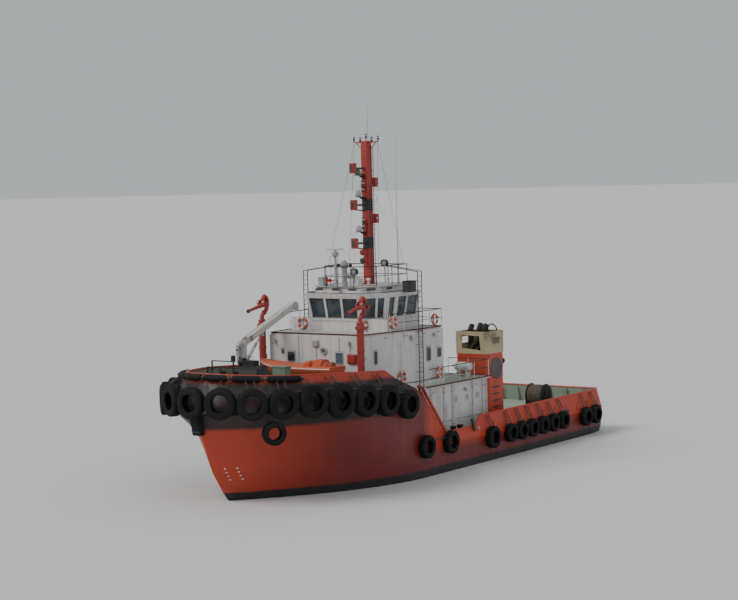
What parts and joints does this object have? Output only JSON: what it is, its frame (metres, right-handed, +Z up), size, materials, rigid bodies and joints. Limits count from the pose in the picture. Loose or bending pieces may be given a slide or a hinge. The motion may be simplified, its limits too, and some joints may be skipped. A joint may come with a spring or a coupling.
{
  "type": "tugboat",
  "caption": "Harbour tug afloat: tyre-fendered red hull, raised forecastle, glazed wheelhouse, mast, twin funnels, fire monitors, boat crane, winches, nozzled propellers.",
  "frame": {"origin": "on the waterline and the centreline, about amidships", "axes": "+X forward to the bow, +Y to port, +Z up"},
  "size_m": [37.6303, 12.2006, 25.7],
  "materials": {
    "hull_red": "semi-gloss, weathered",
    "fender_rubber": "matt, scuffed",
    "house_white": "semi-gloss, stained",
    "deck_green": "matt, non-slip",
    "window_glass": "clear, dark",
    "fire_red": "semi-gloss",
    "gear_grey": "satin",
    "black_paint": "satin, worn",
    "rod_steel": "polished",
    "raft_white": "gloss",
    "boat_orange": "satin, faded",
    "propeller_bronze": "satin"
  },
  "bodies": {
    "ship": {"hull": "hull_red", "bow_bulwark": "hull_red", "side_bulwark_port": "hull_red", "side_bulwark_starboard": "hull_red", "transom_bulwark": "hull_red", "nozzle_port": "hull_red", "nozzle_starboard": "hull_red", "bow_fender": "fender_rubber", "lower_deckhouse": "house_white", "upper_deckhouse": "house_white", "wheelhouse_walls": "house_white", "wheelhouse_roof": "house_white", "bridge_rail": "house_white", "boat_deck_rail_port": "house_white", "boat_deck_rail_starboard": "house_white", "crane_pedestal": "house_white", "boat_deck": "deck_green", "bridge_deck": "deck_green", "wheelhouse_glass": "window_glass", "mast": "fire_red", "funnel_port": "fire_red", "funnel_starboard": "fire_red", "monitor_riser_port": "fire_red", "monitor_riser_starboard": "fire_red", "radar_pedestal": "gear_grey", "compass_binnacle": "gear_grey", "whip_aerial": "gear_grey", "roof_rail": "black_paint", "bollard_aft_port": "black_paint", "bollard_aft_starboard": "black_paint", "bollard_mid_port": "black_paint", "bollard_mid_starboard": "black_paint", "bow_bitt": "black_paint", "hawser_reel_frame": "black_paint", "windlass_frame": "black_paint", "tow_winch_frame": "black_paint", "helm_console": "black_paint", "liferaft_port": "raft_white", "liferaft_starboard": "raft_white", "rescue_boat": "boat_orange"},
    "propeller_port": {"propeller_port": "propeller_bronze"},
    "propeller_starboard": {"propeller_starboard": "propeller_bronze"},
    "rudder_port": {"rudder_port": "hull_red"},
    "rudder_starboard": {"rudder_starboard": "hull_red"},
    "radar": {"radar_scanner": "gear_grey"},
    "monitor_port": {"monitor_base_port": "fire_red"},
    "monitor_starboard": {"monitor_base_starboard": "fire_red"},
    "barrel_port": {"monitor_barrel_port": "fire_red"},
    "barrel_starboard": {"monitor_barrel_starboard": "fire_red"},
    "crane_column": {"crane_column": "house_white"},
    "crane_boom": {"crane_boom": "house_white"},
    "crane_cylinder": {"crane_cylinder": "house_white"},
    "crane_rod": {"crane_rod": "rod_steel"},
    "windlass_drum": {"windlass_drum": "black_paint"},
    "tow_winch_drum": {"tow_winch_drum": "black_paint"},
    "hawser_reel_drum": {"hawser_reel_drum": "black_paint"},
    "wheelhouse_door_port": {"wheelhouse_door_port": "house_white"},
    "wheelhouse_door_starboard": {"wheelhouse_door_starboard": "house_white"},
    "deckhouse_door_lower": {"deckhouse_door_lower": "house_white"},
    "deckhouse_door_upper": {"deckhouse_door_upper": "house_white"}
  },
  "joints": [
    {"name": "propeller_port_spin", "type": "hinge", "parent": "ship", "child": "propeller_port", "pos_m": [-14, 2.3, -2.2], "axis": [1, 0, 0], "continuous": true},
    {"name": "propeller_starboard_spin", "type": "hinge", "parent": "ship", "child": "propeller_starboard", "pos_m": [-14, -2.3, -2.2], "axis": [1, 0, 0], "continuous": true},
    {"name": "rudder_port_steer", "type": "hinge", "parent": "ship", "child": "rudder_port", "pos_m": [-15.25, 2.3, -1], "axis": [0, 0, 1], "range_deg": [-35, 35]},
    {"name": "rudder_starboard_steer", "type": "hinge", "parent": "ship", "child": "rudder_starboard", "pos_m": [-15.25, -2.3, -1], "axis": [0, 0, 1], "range_deg": [-35, 35]},
    {"name": "radar_spin", "type": "hinge", "parent": "ship", "child": "radar", "pos_m": [6.1, 0, 13.2], "axis": [0, 0, 1], "continuous": true},
    {"name": "monitor_port_train", "type": "hinge", "parent": "ship", "child": "monitor_port", "pos_m": [8.73, 3.56, 9], "axis": [0, 0, 1], "range_deg": [-10, 100]},
    {"name": "monitor_starboard_train", "type": "hinge", "parent": "ship", "child": "monitor_starboard", "pos_m": [8.73, -3.56, 9], "axis": [0, 0, 1], "range_deg": [-100, 10]},
    {"name": "monitor_port_elevate", "type": "hinge", "parent": "monitor_port", "child": "barrel_port", "pos_m": [8.73, 3.56, 10.15], "axis": [0, -1, 0], "range_deg": [0, 72]},
    {"name": "monitor_starboard_elevate", "type": "hinge", "parent": "monitor_starboard", "child": "barrel_starboard", "pos_m": [8.73, -3.56, 10.15], "axis": [0, -1, 0], "range_deg": [0, 72]},
    {"name": "crane_slew", "type": "hinge", "parent": "ship", "child": "crane_column", "pos_m": [11.2, -3.1, 6.6], "axis": [0, 0, 1], "range_deg": [-265, 0]},
    {"name": "crane_luff", "type": "hinge", "parent": "crane_column", "child": "crane_boom", "pos_m": [11.2, -3.1, 8.1], "axis": [0.2164, 0.9763, 0], "range_deg": [0, 45]},
    {"name": "crane_cylinder_tilt", "type": "hinge", "parent": "crane_column", "child": "crane_cylinder", "pos_m": [10.8583, -3.0242, 7.1], "axis": [0.2164, 0.9763, 0], "range_deg": [0, 28.6]},
    {"name": "crane_rod_slide", "type": "slide", "parent": "crane_cylinder", "child": "crane_rod", "axis": [-0.588, 0.1303, 0.7983], "range_m": [0, 0.55]},
    {"name": "windlass_turn", "type": "hinge", "parent": "ship", "child": "windlass_drum", "pos_m": [14.2, 0, 6.4], "axis": [0, 1, 0], "continuous": true},
    {"name": "tow_winch_turn", "type": "hinge", "parent": "ship", "child": "tow_winch_drum", "pos_m": [-8.7, 0, 2.85], "axis": [0, 1, 0], "continuous": true},
    {"name": "hawser_reel_turn", "type": "hinge", "parent": "ship", "child": "hawser_reel_drum", "pos_m": [-13.3, 2.5, 2.7], "axis": [0, 1, 0], "continuous": true},
    {"name": "wheelhouse_door_port_swing", "type": "hinge", "parent": "ship", "child": "wheelhouse_door_port", "pos_m": [1.505, 1.8, 9.47], "axis": [0, 0, -1], "range_deg": [0, 110]},
    {"name": "wheelhouse_door_starboard_swing", "type": "hinge", "parent": "ship", "child": "wheelhouse_door_starboard", "pos_m": [1.505, -1.8, 9.47], "axis": [0, 0, 1], "range_deg": [0, 110]},
    {"name": "deckhouse_door_lower_swing", "type": "hinge", "parent": "ship", "child": "deckhouse_door_lower", "pos_m": [-3.925, 0.3, 2.72], "axis": [0, 0, -1], "range_deg": [0, 110]},
    {"name": "deckhouse_door_upper_swing", "type": "hinge", "parent": "ship", "child": "deckhouse_door_upper", "pos_m": [0.805, 1.9, 5.97], "axis": [0, 0, -1], "range_deg": [0, 110]}
  ],
  "couplings": [
    {"joint": "crane_cylinder_tilt", "follows": "crane_luff", "ratio": 0.634},
    {"joint": "crane_rod_slide", "follows": "crane_luff", "m_per_rad": 0.6988}
  ]
}
